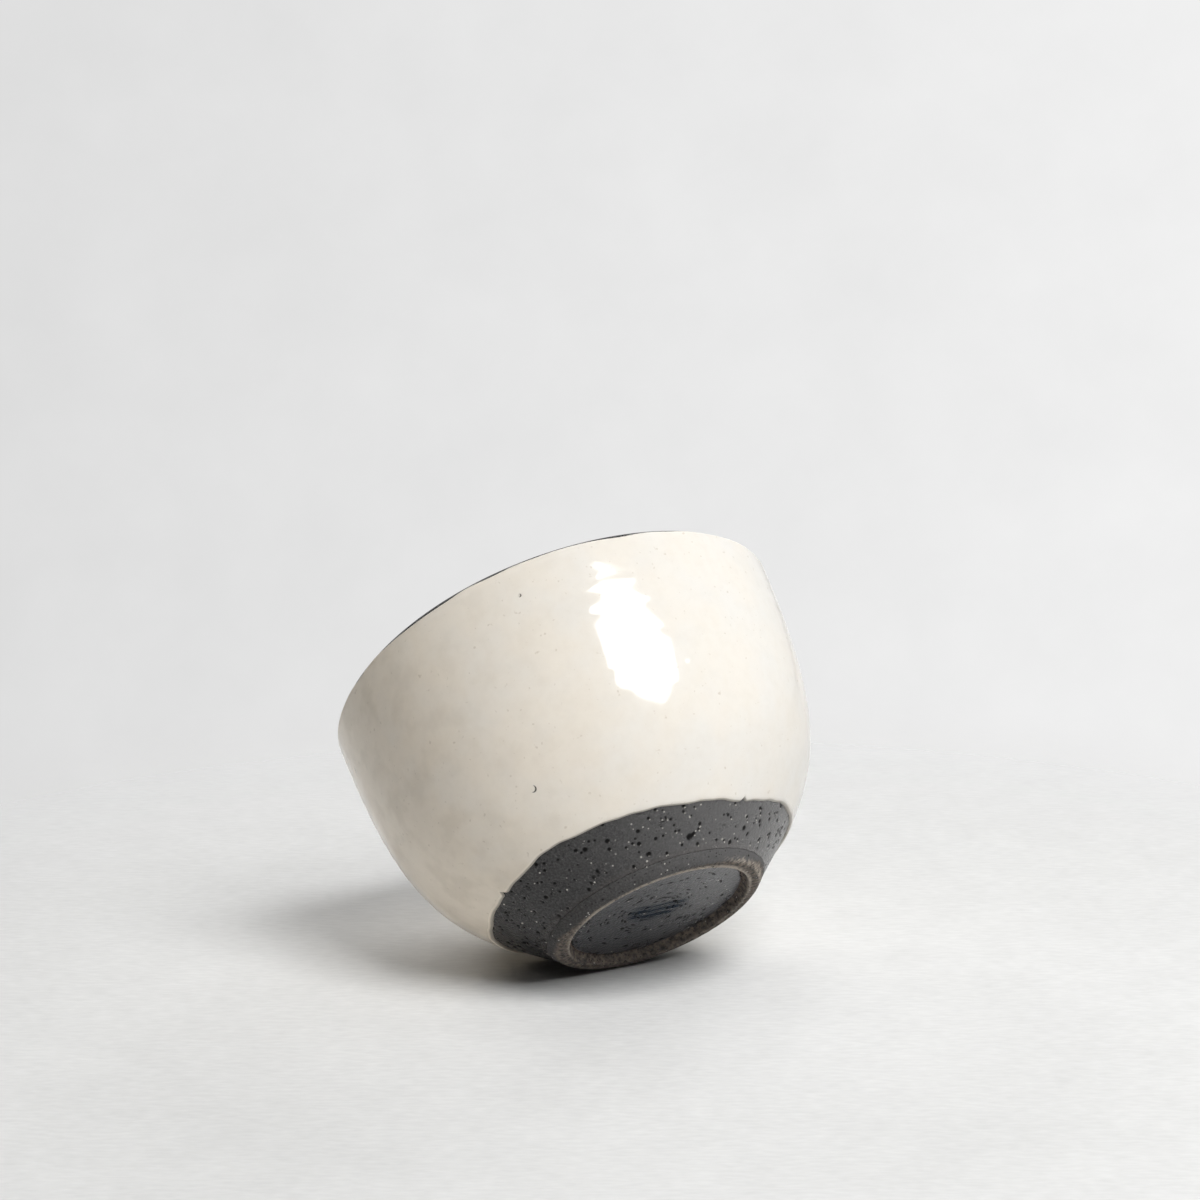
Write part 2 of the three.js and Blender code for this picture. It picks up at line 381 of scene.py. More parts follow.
def tapered(way):
    """A thickness that is 1 at the start of the way over the lip and runs out to 0 in a round end."""
    return np.sqrt(np.clip(1 - way**LIP_TAPER, 0, 1))


lip_way = steps(LIP_ROWS)
lap = np.radians(LIP_LAP + waves(angle, (3, 4, 100), (7, 5, 93), (13, 4, 20), (23, 3, 61), (31, 2, 8)))
lip_edge = over_lip(SLIP_LIP + lift[-1] * tapered(lip_way), lip_way * lap)
seat_start = dip + SEAT_START
back = np.linspace(1, 0, SEAT_ROWS)[:, None] * (WALL_LENGTH - seat_start) + seat_start
seat = beside(outside, back / WALL_LENGTH, 0 * back)
profile = np.concatenate([beside(outside, share, lift), lip_edge, seat])
# The painted shade side mark makes the glaze warmer and darker on its shaded side: painted shade
cream_glaze = turned_piece(
    "cream_glaze", "outer_glaze", "cream_glaze", place(profile, angle),
    thin=np.concatenate([np.exp(-((run / EDGE_WIDTH) ** 4)), lip_way + 0 * angle]), hole=pinholes,
    lean=(0.5 + waves(angle, (1, 0.5, PAINTED_SHADE_SIDE))) ** 2 + 0 * profile[..., 0])

# %% [markdown]
# ## The dark slip
# Slip is liquid clay, here stained dark with iron, and it covers the outside and the lip before the glaze
# goes on. Only a band above the foot and the top of the lip stay in sight, so most rows of the grid go to
# the band, and a few carry the coat on under the glaze.

# %% Dark slip: the grid
SLIP_COLUMNS = 900
BAND_ROWS, COVER_ROWS = 72, 7
TUCK = 1.6  # the finely drawn band ends this far under the glaze
# The lit side: the slip is painted lighter there, which is painted light, and given more sheen
THIN_AND_LIT_SIDE = np.radians(160)
THIN_POWER = 2.5


def thin_and_lit_side(angle):
    """How thin the slip lies and how much painted light it gets, 0 to 1: a power of a raised cosine round
    the turn, with its crest on the lit side, where the slip is painted lighter and given more sheen."""
    return (0.5 + 0.5 * np.cos(angle - THIN_AND_LIT_SIDE)) ** THIN_POWER


angle = turns(SLIP_COLUMNS)
band_end = dip_line(angle) + TUCK
band = np.linspace(0, 1, BAND_ROWS)[:, None] * band_end
cover = steps(COVER_ROWS) * (WALL_LENGTH - band_end) + band_end
along = np.concatenate([band, cover])
print(f"band up to {band.max():.1f} mm long, on {BAND_ROWS} rows of {SLIP_COLUMNS} points")

# %% [markdown]
# The clay under the slip is coarse. Grains that burned or fell out left black pores, and beside every
# second pore a pale spot is a painted glint on its lit rim. More pale grains stick through, and the turning
# tool dragged some of them into short scratches. A texture could colour these, but a pore is a hole with a
# lit rim, so they are shape as well.

# %% Dark slip: pores, grains, painted glints and drags
BAND_RADIUS = FOOT_RADIUS + 5  # about, in the middle of the band
BAND = (0.4, 12.5)  # lengths up the wall between which the seeded ones lie
# Rows are the angle in degrees, the length up the wall, the size and the strength
BIG_PITS = [
    (115.9, 3.1, 0.75, 1.0), (117.0, 3.3, 0.5, 0.9), (82.0, 6.2, 0.4, 1.0), (96.5, 2.2, 0.45, 1.0),
    (146.0, 6.0, 0.36, 1.0), (150.0, 3.0, 0.34, 1.0), (153.0, 8.0, 0.4, 1.0), (157.0, 5.0, 0.36, 1.0),
    (161.0, 2.4, 0.34, 1.0), (163.0, 6.8, 0.4, 1.0), (168.0, 4.2, 0.36, 1.0), (171.0, 7.6, 0.34, 1.0),
    (175.0, 2.8, 0.36, 1.0), (178.0, 5.6, 0.4, 1.0), (183.0, 3.8, 0.36, 1.0), (186.0, 7.0, 0.34, 1.0)]
DRAGS = [(105.1, 7.4, 0.17, 1.0), (103.5, 7.0, 0.14, 0.8), (133.3, 4.4, 0.16, 0.9)]
DRAG_STRETCH = 6
# Painted glints: a pale spot beside every second pore, where its rim would catch the light
EDGE_GLINT_OFFSET = (-0.36, 0.2 / BAND_RADIUS)  # from its pore, in length and angle
EDGE_GLINT = (0.2, 0.9)  # size and strength

pore_places = np.concatenate([chosen(BIG_PITS), scatter(330, BAND, (0.3, 0.6), (0.6, 1.0))])
edge_glints = pore_places[::2] * [1, 1, 0, 0] + [*EDGE_GLINT_OFFSET, *EDGE_GLINT]
grain_and_glint_places = [*edge_glints, *scatter(180, BAND, (0.2, 0.34), (0.4, 1.0))]
drag_places = [*chosen(DRAGS), *scatter(40, BAND, (0.13, 0.2), (0.4, 0.9))]
pores = spots(along, angle, BAND_RADIUS, pore_places)
grains_and_glints = spots(along, angle, BAND_RADIUS, grain_and_glint_places)
drags = spots(along, angle, BAND_RADIUS, drag_places, DRAG_STRETCH)
print(f"{len(pore_places)} pores, {len(grain_and_glint_places)} grains and {len(drag_places)} drags")

# %% [markdown]
# Fine turning marks run round the cup next to the foot, where the slip was also wiped a little. With these
# the face of the band is complete, and the coat goes over the lip and comes back under itself.

# %% Dark slip: tool marks, lip and mesh
PORE_DEPTH, GRAIN_HEIGHT, DRAG_DEPTH = 0.22, 0.05, 0.08
TOOLING = 0.02  # half the height of the turning marks
TOOLING_PITCH = 0.9
TOOLING_FADE = 5.0  # length up the wall over which they fade
WIPED_BAND = 1.4  # mean length of the wiped part
LIP_TOP_ROWS, UNDER_LIP_ROWS = 15, 6

tooling = np.cos(2 * np.pi * along / TOOLING_PITCH + waves(angle, (1, 1.2, 0), (3, 0.8, 40)))
tooling = TOOLING * tooling * np.exp(-along / TOOLING_FADE)
lift = tooling - PORE_DEPTH * pores + GRAIN_HEIGHT * grains_and_glints - DRAG_DEPTH * drags
wiped = np.exp(-((along / (WIPED_BAND + waves(angle, (3, 0.3, 10), (8, 0.25, 40), (21, 0.2, 3)))) ** 2))
face = beside(outside, along / WALL_LENGTH, lift)
lip = over_lip(SLIP_LIP, np.pi * steps(LIP_TOP_ROWS) + 0 * angle)
under_lip = over_lip(CLAY_LIP, np.linspace(np.pi, 0, UNDER_LIP_ROWS)[:, None] + 0 * angle)
back = 1 - steps(COVER_ROWS) + 0 * angle
profile = np.concatenate([face, lip, under_lip, beside(outside, back, 0 * back - SLIP)])
# The thin mark paints the slip lighter on the lit side, painted light, and makes the pale grains and
# painted glints stronger there
dark_slip = turned_piece(
    "dark_slip", "slip_coat", "dark_slip", place(profile, angle), pore=np.maximum(pores, 0.7 * drags),
    grain=grains_and_glints * (0.4 + 0.8 * thin_and_lit_side(angle) ** 0.4), wiped=wiped, thinned=thin_and_lit_side(angle) + 0 * along)

# %% [markdown]
# ## The foot ring
# The foot is turned from the same clay, and its ring is wiped clean so that it can't stick to the kiln
# shelf. Its side spreads in one soft curve from the flat that it rests on to the wall above, the flat
# has a shallow groove, and the inner edge is thin. An outline of (radius, height) pairs gives all of that.

# %% Foot ring: the outline
RING_COLUMNS = 600
WELL_RADIUS = 17.9
WELL_DRAFT = 0.4  # the well narrows by this much up to its floor
REST = 19.3  # outer radius of the flat that the cup rests on
REST_REACH = 1.3  # how far the flat's direction pulls the side outwards
EDGE_ROUND = 0.3  # radius of the inner edge
GROOVE = 0.12  # depth
FLARE = 0.85  # how far the side spreads to meet the wall above


def ring_outline():
    """The ring's outline as (radius, height) pairs: up the outer side in a quadratic Bezier curve, back
    over the hidden seat, down the well's wall, over the inner edge's quarter round, and across the
    underside, whose groove is a squared sine."""
    side_points, seat_points, wall_points, edge_points, underside_points = 26, 5, 12, 10, 18
    t = np.linspace(0, 1, side_points)[:, None]
    start, pull, end = np.array([[REST, 0], [REST + REST_REACH, 0], [FOOT_RADIUS + FLARE, FOOT_HEIGHT]])
    side = (1 - t) ** 2 * start + 2 * t * (1 - t) * pull + t**2 * end
    top = np.linspace(FOOT_RADIUS + FLARE, WELL_RADIUS - WELL_DRAFT, seat_points)[1:]
    seat = np.stack([top, np.full(len(top), FOOT_HEIGHT)], -1)
    upper, lower = [WELL_RADIUS - WELL_DRAFT, FOOT_HEIGHT], [WELL_RADIUS, EDGE_ROUND]
    wall = np.linspace(upper, lower, wall_points)[1:-1]
    quarter = np.linspace(np.pi, 1.5 * np.pi, edge_points)
    edge = np.array([WELL_RADIUS, 0]) + EDGE_ROUND * (1 + np.stack([np.cos(quarter), np.sin(quarter)], -1))
    share = np.linspace(0, 1, underside_points)[1:-1]
    radius = WELL_RADIUS + EDGE_ROUND + share * (REST - WELL_RADIUS - EDGE_ROUND)
    underside = np.stack([radius, GROOVE * np.sin(np.pi * share) ** 2], -1)
    return np.concatenate([side, seat, wall, edge, underside])


outline = ring_outline()
path = np.cumsum(np.linalg.norm(np.diff(outline, axis=0, prepend=outline[:1]), axis=1))[:, None]
print(f"ring outline {path[-1, 0]:.1f} mm long, {len(outline)} points")

# %% [markdown]
# Bare clay is gritty. Pits and a sum of many small cosines push the surface in towards the middle of the
# ring, except on the hidden seat, which stays flat.

# %% Foot ring: pits and grit
RING_RADIUS = 19.5  # about, for distances round the ring
RING_PIT_DEPTH = 0.14
GRIT_DEPTH = 0.07
GRIT_WAVES = 26
FINEST_GRIT = 9  # radians to the millimetre
SEAT_MARGIN, SEAT_FADE = 0.05, 0.5  # the grit begins this far below the seat, and is full this much lower

angle = turns(RING_COLUMNS)
profile = outline[:, None, :] + np.zeros((1, RING_COLUMNS, 1))
radius, height = profile[..., 0], profile[..., 1]
shown = np.clip((FOOT_HEIGHT - SEAT_MARGIN - height) / SEAT_FADE, 0, 1)
pit_places = scatter(200, (0, path[-1, 0]), (0.15, 0.4), (0.3, 1.0))
ring_pits = spots(path, angle, RING_RADIUS, pit_places) * shown
grit_waves = rng.uniform(-FINEST_GRIT, FINEST_GRIT, (GRIT_WAVES, 3))
grit_swings = rng.uniform(0.3, 1, GRIT_WAVES)
# The waves round the ring are whole numbers to the turn, so that they meet at the seam
grit = sum(swing * np.cos(np.round(a * RING_RADIUS) * angle + b * path + c)
           for (a, b, c), swing in zip(grit_waves, grit_swings)) / GRIT_WAVES
middle = np.array([(FOOT_RADIUS + WELL_RADIUS) / 2, FOOT_HEIGHT / 2])
inwards = (middle - profile) / np.linalg.norm(middle - profile, axis=-1, keepdims=True)
profile = profile + inwards * (RING_PIT_DEPTH * ring_pits + GRIT_DEPTH * (1 + grit) * shown)[..., None]
print(f"grit swings from {grit.min():.2f} to {grit.max():.2f}")

# %% [markdown]
# The inner edge is paler, most of all on the side that the camera sees: partly wear from tables, partly a
# painted highlight. A patch of the outer shoulder at the lit end is a painted highlight. Slip ran down over
# the side of the ring on that side and left brown clay bare elsewhere. These marks only change the colour,
# so they are worked out for the points.

# %% Foot ring: wear, painted highlights, slip and mesh
PALE_EDGE_SIDE = 105  # degrees, where the inner edge is palest
SHOULDER_HIGHLIGHT_SIDE = 175  # degrees, the middle of the painted highlight on the shoulder
PALE_EDGE_POINT = 0.1  # the pale line's middle, in from the sharp inner edge both ways
SHOULDER_RADIUS, SHOULDER_WIDTH = 20.5, 0.7
SLIP_REACH = 20.6  # mean of radius plus part of the height, where slip begins
SLIP_LEAN = 0.6  # that part
SLIP_BLEND = 0.9

# The pale line on the inner edge is partly wear and partly painted highlight; the shoulder patch is a
# painted highlight
edge_distance = np.hypot(radius - WELL_RADIUS - PALE_EDGE_POINT, height - PALE_EDGE_POINT)
worn_side = 0.5 + waves(angle, (1, 0.5, PALE_EDGE_SIDE))
pale_edge_strength = np.clip(worn_side * (0.9 + waves(angle, (3, 0.12, 30), (8, 0.15, 11)) + 1.6 * grit), 0, 1)
worn = np.exp(-((edge_distance / (0.3 + 0.6 * worn_side)) ** 2)) * pale_edge_strength
worn_end = np.clip(waves(angle, (1, 3, SHOULDER_HIGHLIGHT_SIDE)) - 2, 0, 1)
shoulder = np.exp(-(((radius - SHOULDER_RADIUS) / SHOULDER_WIDTH) ** 2)) * (radius > REST)
worn = np.maximum(worn, (0.48 + 2 * grit) * shoulder * worn_end * shown)
slip_edge = SLIP_REACH + waves(angle, (1, 1.6, 255), (2, 0.8, 185), (7, 0.2, 20), (13, 0.15, 3))
slip_edge = slip_edge + 1.6 * grit
slipped = np.clip((radius + SLIP_LEAN * height - slip_edge) / SLIP_BLEND, 0, 1)
slipped = slipped * (radius > WELL_RADIUS + EDGE_ROUND)
# The thin mark paints the slip on the ring lighter on the lit side: painted light
bare_foot = turned_piece(
    "bare_foot", "foot_ring", "bare_foot", place(profile, angle),
    pore=ring_pits, worn=worn, slipped=slipped, thinned=slipped * thin_and_lit_side(angle))

# %% [markdown]
# ## The well
# Inside the ring the floor was turned with the point of the tool, which left fine rings and dragged pits,
# and the slip over it is thin and satin. The grid is a disc that starts at its middle, and its hidden top
# closes it.

# %% Well: turning marks and pits
WELL_COLUMNS = 480
WELL_ROWS = 92
TURNING = 0.012  # height of the fine rings
TURNING_PITCH = 1.15
WELL_PITS = 110
WELL_PIT_DEPTH = 0.13
WELL_PIT_STRETCH = 3

angle = turns(WELL_COLUMNS)
radius = np.linspace(0, WELL_SLIP_RADIUS - SLIP, WELL_ROWS)[:, None] + 0 * angle
turning = waves(angle, (2, 0.5, 20), (5, 0.3, 60))
turning = 0.5 + 0.5 * np.cos(2 * np.pi * radius / TURNING_PITCH + angle + turning)
pit_radii = rng.uniform(2, 16.5, WELL_PITS)
pit_turns = rng.uniform(0, 2 * np.pi, WELL_PITS)
pit_sizes = rng.uniform(0.15, 0.3, WELL_PITS)
well_pits = np.zeros_like(radius)
for far, turn, size in zip(pit_radii, pit_turns, pit_sizes):
    pit = spots(radius, angle, far, [(far, turn, size, 1.0)], WELL_PIT_STRETCH)
    well_pits = np.maximum(well_pits, pit)
under = FOOT_HEIGHT - SLIP
face = np.stack([radius, under + TURNING * turning + WELL_PIT_DEPTH * well_pits], -1)
face[0, :, 1] = under
closing_radii = (WELL_SLIP_RADIUS, WELL_SLIP_RADIUS / 2, 0)
profile = np.concatenate([face, *(level_row(far, FOOT_HEIGHT, WELL_COLUMNS) for far in closing_radii)])
print(f"well {2 * radius.max():.1f} mm across, with {WELL_PITS} pits")

# %% [markdown]
# A plain dab of cobalt was brushed on the middle. It has no thickness to speak of, so it is a mark on the
# points: a rounded oblong with streaks along the brush's way.

# %% Well: the cobalt dab and the mesh
BRUSH = np.radians(28)  # the way of the brush, from +X
DAB_LENGTH, DAB_WIDTH = 6.6, 3.6  # from its middle
DAB_BEND = 0.04
DAB_SHIFT = 0.8

x, y = radius * np.cos(angle), radius * np.sin(angle)
length, width = x * np.cos(BRUSH) + y * np.sin(BRUSH), y * np.cos(BRUSH) - x * np.sin(BRUSH)
dab_edge = (length / DAB_LENGTH) ** 4 + ((width - DAB_BEND * length**2 + DAB_SHIFT) / DAB_WIDTH) ** 2
# Streaks are two cosines across the brush's way, which wander a little along it
streaks = np.cos(width * 5.2 + 0.5 * np.sin(length * 0.9)) * np.cos(width * 2.1 + length * 0.25)
dab = np.clip(1.25 - dab_edge, 0, 1) * (0.55 + 0.45 * streaks)
# Lighter towards the lit far side of the well: painted light, with more sheen there too
well_thin_and_painted_light = 0.5 + 0.5 * radius / WELL_SLIP_RADIUS * np.cos(angle - THIN_AND_LIT_SIDE)
well_floor = turned_piece(
    "well_floor", "well_slip", "well_slip", place(profile, angle), poles=True,
    thinned=well_thin_and_painted_light, pore=well_pits, cobalt=dab, turned=turning)

# %% [markdown]
# ## The lining
# The same glaze was poured in and out again, so it lines the hollow and gathers a little on the floor. The
# potter's finger left a soft spiral that rises from the middle of the floor. The grid climbs from there,
# laps over the lip and comes back along the clay.

# %% Cream glaze, inside
LINING_COLUMNS = 360
LINING_ROWS = 149
LINING = 0.5
POOL = 1.0  # thickness in the middle of the floor
POOL_REACH = 0.5  # share of the way up where the pool has run out
POOL_FADE = 2.2  # how fast the pool's tint fades with that share
SPIRAL = 0.05  # half the height of the finger spiral
SPIRAL_PITCH = 7.0
FADE_IN, FADE_OUT = 6, 5  # how fast the spiral sets in at the middle and runs out at the rim
LAP_ROWS = 9
LINING_LAP = 57  # degrees up the lip's half round that the lining reaches
LINING_SEAT_ROWS = 23

angle = turns(LINING_COLUMNS)
share = steps(LINING_ROWS) + 0 * angle
thickness = POOL + (LINING - POOL) * np.minimum(1, share / POOL_REACH)
finger = np.cos(2 * np.pi * share * INSIDE_LENGTH / SPIRAL_PITCH - angle) - 1
fade = np.clip(share * FADE_IN, 0, 1) * np.clip((1 - share) * FADE_OUT, 0, 1)
face = beside(inside, share, -thickness - SPIRAL * finger * fade)
lap_way = steps(LAP_ROWS)
lap = np.radians(LINING_LAP + waves(angle, (5, 5, 20), (9, 3, 70)))
over = over_lip(SLIP_LIP + LINING * tapered(lap_way) + 0 * angle, np.pi - lap_way * lap)
back = 1 - steps(LINING_SEAT_ROWS) + 0 * angle
seat = beside(inside, back, 0 * back)
seat[-1, :, 0] = 0
centre = level_row(0, FLOOR_HEIGHT + POOL, LINING_COLUMNS)
step = level_row(LIP_CENTRE[0] - SLIP_LIP, LIP_CENTRE[1], LINING_COLUMNS)
profile = np.concatenate([centre, face, over, step, seat])
pooled, thin = np.zeros((2, len(profile), 1))
pooled[0] = 1
pooled[1:LINING_ROWS + 1] = np.clip(1 - POOL_FADE * steps(LINING_ROWS), 0, 1)
thin[LINING_ROWS + 1:LINING_ROWS + LAP_ROWS + 1] = lap_way
# The rows are turned round, so that the faces point outwards
cream_lining = turned_piece(
    "cream_lining", "inner_glaze", "cream_lining", place(profile[::-1], angle), poles=True,
    pool=pooled[::-1], thin=thin[::-1])

# %% [markdown]
# ## Materials
# Colours are written as the hex values that a screen shows, and one function turns them into the linear
# light that Cycles works in. Another adds a node, sets it and links it, and every material uses these two.
# A pattern's scale is one over its size, so a size in millimetres goes in as 1 / (size * MM).

# %% Colours and nodes
CREAM = "#E0DDD7"
MIX_A, MIX_B, MIX_COLOUR = 6, 7, 2  # a Mix node's colour sockets


def linear(code):
    """sRGB hex to linear light: below 0.04045 divide by 12.92, above it ((c + 0.055) / 1.055) ** 2.4."""
    parts = np.array([int(code[i:i + 2], 16) for i in (1, 3, 5)]) / 255
    light = np.where(parts <= 0.04045, parts / 12.92, ((parts + 0.055) / 1.055) ** 2.4)
    return (*light.tolist(), 1.0)


def add(tree, kind, sockets=None, **settings):
    """Adds one node with its settings. The kind is Blender's name without ShaderNode. A socket is linked
    if it is given a socket, or a node, which stands for its first output. Otherwise it gets the value."""
    node = tree.nodes.new("ShaderNode" + kind)
    for name, value in settings.items():
        setattr(node, name, value)
    for name, value in (sockets or {}).items():
        source = value.outputs[0] if isinstance(value, bpy.types.Node) else value
        if isinstance(source, bpy.types.NodeSocket):
            tree.links.new(source, node.inputs[name])
        else:
            node.inputs[name].default_value = source
    return node


def material_tree(name):
    """A new material with an empty node tree."""
    material = bpy.data.materials.new(name)
    material.use_nodes = True
    material.node_tree.nodes.clear()
    return material, material.node_tree


def tinted(tree, colour, shade, value, low=0.0, high=1.0, most=1.0):
    """Lays a shade over a colour: none of it where the value is low, and the most of it where it is high.
    Gives the new colour and how much of the shade is on it."""
    cover = add(tree, "MapRange", {"Value": value, "From Min": low, "From Max": high, "To Max": most})
    mix = add(tree, "Mix", {0: cover, MIX_A: colour, MIX_B: linear(shade)}, data_type="RGBA")
    return mix.outputs[MIX_COLOUR], cover


print("cream in linear light:", [round(x, 3) for x in linear(CREAM)])

# %% [markdown]
# ### Glossy cream glaze
# A glass made milky with a little tin, and fired glossy. It is smooth enough to mirror a lamp with sharp
# edges, it is slightly mottled where it is thicker or thinner, and the dark slip shows through at its
# thin edges. On the side that lies in shade it is painted warmer and darker, with smoky patches: painted
# shade. A few iron specks and pinholes break it. The deepest pinholes and one grain show as dark
# crescents, because light reaches one side of them. A crescent is one disc less another.

# %% Places of the dark crescents
# Angle in degrees, length up the wall, size, and where its lit disc lies: further round and further up
TICKS = [
    (71.3, 23.2, 0.75, -0.28, 0.2), (88.8, 56.5, 0.4, -0.2, 0.1),
    (9.0, 56.8, 0.5, -0.2, 0.15), (13.7, 52.5, 0.55, -0.2, 0.2)]


def on_glaze(turn, length):
    """A point on the glaze, from its angle and its length up the wall."""
    return place(beside(outside, length / WALL_LENGTH, GLAZE), turn)


ticks = []
for turn, length, size, aside, higher in TICKS:
    dark = on_glaze(np.radians(turn), length)
    lit = on_glaze(np.radians(turn) + aside / RIM_RADIUS, length + higher)
    ticks.append((dark, lit, size * MM))
print(len(ticks), "crescents")

# %% Material: cream glaze
def cream_glaze_material(name, pale, warm, shade_mark, shade, ticks=()):
    """Two creams mixed by clouds about 9 mm wide and by a mark for the side in shade, where the warmer
    cream and smoky patches of 6 mm are painted shade. Dust of 2.2 mm, specks of 0.9 mm, a mark for thin
    edges and a second mark with its own shade darken it, and so do the crescents. The bump is a soft
    waviness of 3 mm."""
    material, tree = material_tree(name)
    where = add(tree, "TexCoord").outputs["Object"]
    lean, thin, mark = (
        add(tree, "Attribute", attribute_name=which).outputs["Fac"]
        for which in ("lean", "thin", shade_mark))
    clouds, patches, iron, peel = (
        add(tree, "TexNoise", {"Vector": where, "Scale": 1 / (size * MM), "Detail": detail})
        for size, detail in ((9, 4.0), (6, 3.0), (0.9, 1.0), (3, 2.0)))
    grain = add(tree, "TexNoise", {
        "Vector": where, "Scale": 1 / (2.2 * MM), "Detail": 4.0, "Roughness": 0.6})
    mottle = add(tree, "MapRange", {"Value": clouds, "From Min": 0.35, "From Max": 0.65})
    # Warmer cream and smoky patches on the shaded side only: painted shade
    mottle_and_painted_shade = add(tree, "Math", {0: mottle, 1: 0.25, 2: lean}, operation="MULTIPLY_ADD", use_clamp=True)
    smoke_in_painted_shade = add(tree, "MapRange", {"Value": patches, "From Min": 0.48, "From Max": 0.66, "To Max": 0.22})
    smoke_in_painted_shade = add(tree, "Math", {0: smoke_in_painted_shade, 1: lean}, operation="MULTIPLY")
    speck = add(tree, "MapRange", {"Value": iron, "From Min": 0.70, "From Max": 0.80, "To Max": 0.35})
    dust = add(tree, "MapRange", {"Value": grain, "From Min": 0.42, "From Max": 0.7, "To Max": 0.055})
    dust = add(tree, "Math", {0: speck, 1: dust}, operation="MAXIMUM")
    colour, _ = tinted(tree, linear(pale), warm, mottle_and_painted_shade)
    colour, _ = tinted(tree, colour, "#B5A994", smoke_in_painted_shade)
    colour, _ = tinted(tree, colour, "#A89880", dust)
    colour, _ = tinted(tree, colour, "#8B847A", thin, 0.7, 1.0, 0.75)
    colour, _ = tinted(tree, colour, shade, mark, 0.3, 1.0, 0.8)
    for *middles, size in ticks:
        discs = []
        for middle in middles:
            far = add(tree, "VectorMath", {0: where, 1: middle.tolist()}, operation="DISTANCE")
            discs.append(add(tree, "MapRange", {
                "Value": far.outputs["Value"], "From Min": 0.8 * size, "From Max": size,
                "To Min": 1.0, "To Max": 0.0}))
        tick = add(tree, "Math", {0: discs[0], 1: discs[1]}, operation="SUBTRACT", use_clamp=True)
        colour, _ = tinted(tree, colour, "#4A443C", tick)
    bump = add(tree, "Bump", {"Height": peel, "Strength": 0.35, "Distance": 0.05 * MM})
    gloss = add(tree, "MapRange", {"Value": clouds, "To Min": 0.06, "To Max": 0.1})
    dry = add(tree, "MapRange", {"Value": thin, "From Max": 0.25, "To Max": 0.4})
    roughness = add(tree, "Math", {0: gloss, 1: dry}, operation="ADD")
    shader = add(tree, "BsdfPrincipled", {
        "Base Color": colour, "Roughness": roughness, "IOR": 1.52, "Normal": bump})
    add(tree, "OutputMaterial", {"Surface": shader})
    return material


# The outer glaze gets its warm cream partly as painted shade on its shaded side; the lining only by clouds
dipped = cream_glaze_material("glossy_cream_glaze_dipped", CREAM, "#E8DDCC", "hole", "#9A9082", ticks)
poured = cream_glaze_material("glossy_cream_glaze_poured", CREAM, "#E4DAC9", "pool", "#D9D4C6")
cream_glaze.data.materials.append(dipped)
cream_lining.data.materials.append(poured)
print("cream glaze on", cream_glaze.name, "and", cream_lining.name)

# %% [markdown]
# ### Dark slip
# Iron-stained slip, poured on and fired without glaze, comes out charcoal and satin: grey with a dull
# sheen, clouded where it lay thicker. Pores read black because no light gets out of them, and the pale
# grains are quartz and feldspar from the clay. Pale glints are painted on the lit rims of some pores, and
# on the lit side the slip is painted lighter: painted highlights and painted light. The finest pores and
# grains are too many to shape, so a pattern of cells colours them. It serves the foot ring too, where slip
# lies on it.

# %% The finest pores and grains
DUST = 0.4
# A cell has a dot above one value, fully from the next. Then the dot's size in cells, and its colour
FINE_PORES = (0.5, 0.55, 0.28, "#0D0C0C")
FINE_GRAINS = (0.9, 0.92, 0.26, "#C6C2BA")


def speckled(tree, where, colour, cell):
    """A colour with dust over it, and in cells of the given size a black pore in about every second one
    and a pale grain in about every tenth. A random value of each cell decides."""
    fine = add(tree, "TexNoise", {"Vector": where, "Scale": 1 / (DUST * MM), "Detail": 2.0})
    colour, _ = tinted(tree, colour, "#6A6868", fine, 0.42, 0.72, 0.36)
    cells = add(tree, "TexVoronoi", {"Vector": where, "Scale": 1 / (cell * MM)})
    kind = add(tree, "SeparateColor", {0: cells.outputs["Color"]})
    for low, high, size, shade in (FINE_PORES, FINE_GRAINS):
        dot = add(tree, "MapRange", {
            "Value": cells, "From Min": 0.6 * size, "From Max": size, "To Min": 1.0, "To Max": 0.0})
        pick = add(tree, "MapRange", {"Value": kind, "From Min": low, "From Max": high})
        dot = add(tree, "Math", {0: pick, 1: dot}, operation="MULTIPLY")
        colour, _ = tinted(tree, colour, shade, dot)
    return colour


print(f"dust of {DUST} mm, dots of {FINE_PORES[2]} and {FINE_GRAINS[2]} cells")

# %% Material: dark slip
SLIP_CELL = 0.85
# A mark's name, where its shade begins and is full, how much of it, the shade, and if it takes the sheen
# The grain mark holds pale grains and the painted glints beside pores
SLIP_MARKS = [("grain", 0.35, 0.75, 0.8, "#B4B0A9", False), ("pore", 0.27, 0.62, 0.92, "#0D0C0C", True)]
# The thin marks paint the band and the well lighter on their lit sides: painted light
BAND_MARKS = [("thinned", 0.0, 1.0, 0.8, "#525151", False), ("wiped", 0.2, 1.0, 0.2, "#463C36", False)]
WELL_MARKS = [
    ("thinned", 0.4, 1.0, 0.35, "#5C5C5E", False), ("turned", 0.6, 1.0, 0.2, "#262628", False),
    ("cobalt", 0.1, 0.6, 0.95, "#0C1D2B", True)]


